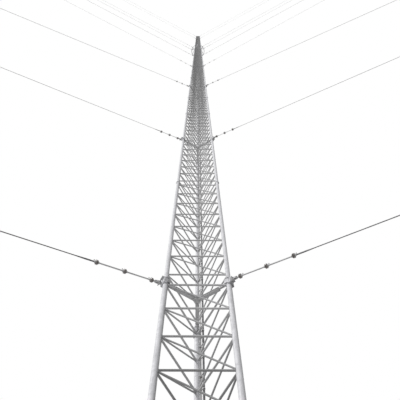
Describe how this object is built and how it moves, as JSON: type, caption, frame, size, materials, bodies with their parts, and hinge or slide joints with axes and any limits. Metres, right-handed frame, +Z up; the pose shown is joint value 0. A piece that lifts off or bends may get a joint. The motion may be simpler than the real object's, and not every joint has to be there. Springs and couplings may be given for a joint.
{
  "type": "guyed radio mast, 1:10 scale model",
  "caption": "Tall guyed lattice mast of triangular section with star frames, strain insulators, guys and ground anchors, as a 1:10 scale model.",
  "frame": {"origin": "on the mast's axis at ground level, in the middle of the underside of the foundation pier", "axes": "+Z up the mast; one flat side of the triangular mast faces -Y and the third leg stands at +Y"},
  "size_m": [23.3627, 20.3876, 27.1406],
  "materials": {
    "galvanised_leg": "weathered hot-dip galvanised tube",
    "galvanised_bar": "dull galvanised bar, darkened by weather",
    "galvanised_fitting": "dull galvanised plate",
    "guy_strand": "stranded galvanised steel rope",
    "porcelain": "brown-grey glazed porcelain",
    "concrete": "cast concrete",
    "conduit_steel": "dull grey painted conduit",
    "beacon_lens": "red ribbed glass"
  },
  "bodies": {
    "root": {"anchor_blocks": "concrete", "anchor_plates": "galvanised_fitting", "base_insulator": "porcelain", "base_pivot": "galvanised_fitting", "beacon": "beacon_lens", "bearing_plate": "galvanised_fitting", "conduit": "conduit_steel", "conduit_brackets": "galvanised_fitting", "foot_bracing": "galvanised_bar", "foot_legs": "galvanised_leg", "foot_plate": "galvanised_fitting", "foundation_pier": "concrete", "guy_collars": "galvanised_fitting", "guy_insulators_lower": "porcelain", "guy_insulators_upper": "porcelain", "guy_yokes": "galvanised_fitting", "guys_level_1": "guy_strand", "guys_level_2": "guy_strand", "guys_level_3": "guy_strand", "guys_level_4": "guy_strand", "guys_level_5": "guy_strand", "guys_level_6": "guy_strand", "guys_level_7": "guy_strand", "guys_level_8": "guy_strand", "stage_1_front_bracing": "galvanised_bar", "stage_1_left_bracing": "galvanised_bar", "stage_1_legs": "galvanised_leg", "stage_1_right_bracing": "galvanised_bar", "stage_2_front_bracing": "galvanised_bar", "stage_2_left_bracing": "galvanised_bar", "stage_2_legs": "galvanised_leg", "stage_2_right_bracing": "galvanised_bar", "stage_3_front_bracing": "galvanised_bar", "stage_3_left_bracing": "galvanised_bar", "stage_3_legs": "galvanised_leg", "stage_3_right_bracing": "galvanised_bar", "stage_4_front_bracing": "galvanised_bar", "stage_4_left_bracing": "galvanised_bar", "stage_4_legs": "galvanised_leg", "stage_4_right_bracing": "galvanised_bar", "stage_5_front_bracing": "galvanised_bar", "stage_5_left_bracing": "galvanised_bar", "stage_5_legs": "galvanised_leg", "stage_5_right_bracing": "galvanised_bar", "star_frames": "galvanised_fitting", "top_plate": "galvanised_fitting", "torque_frame": "galvanised_fitting", "turnbuckles": "galvanised_fitting"}
  },
  "joints": []
}
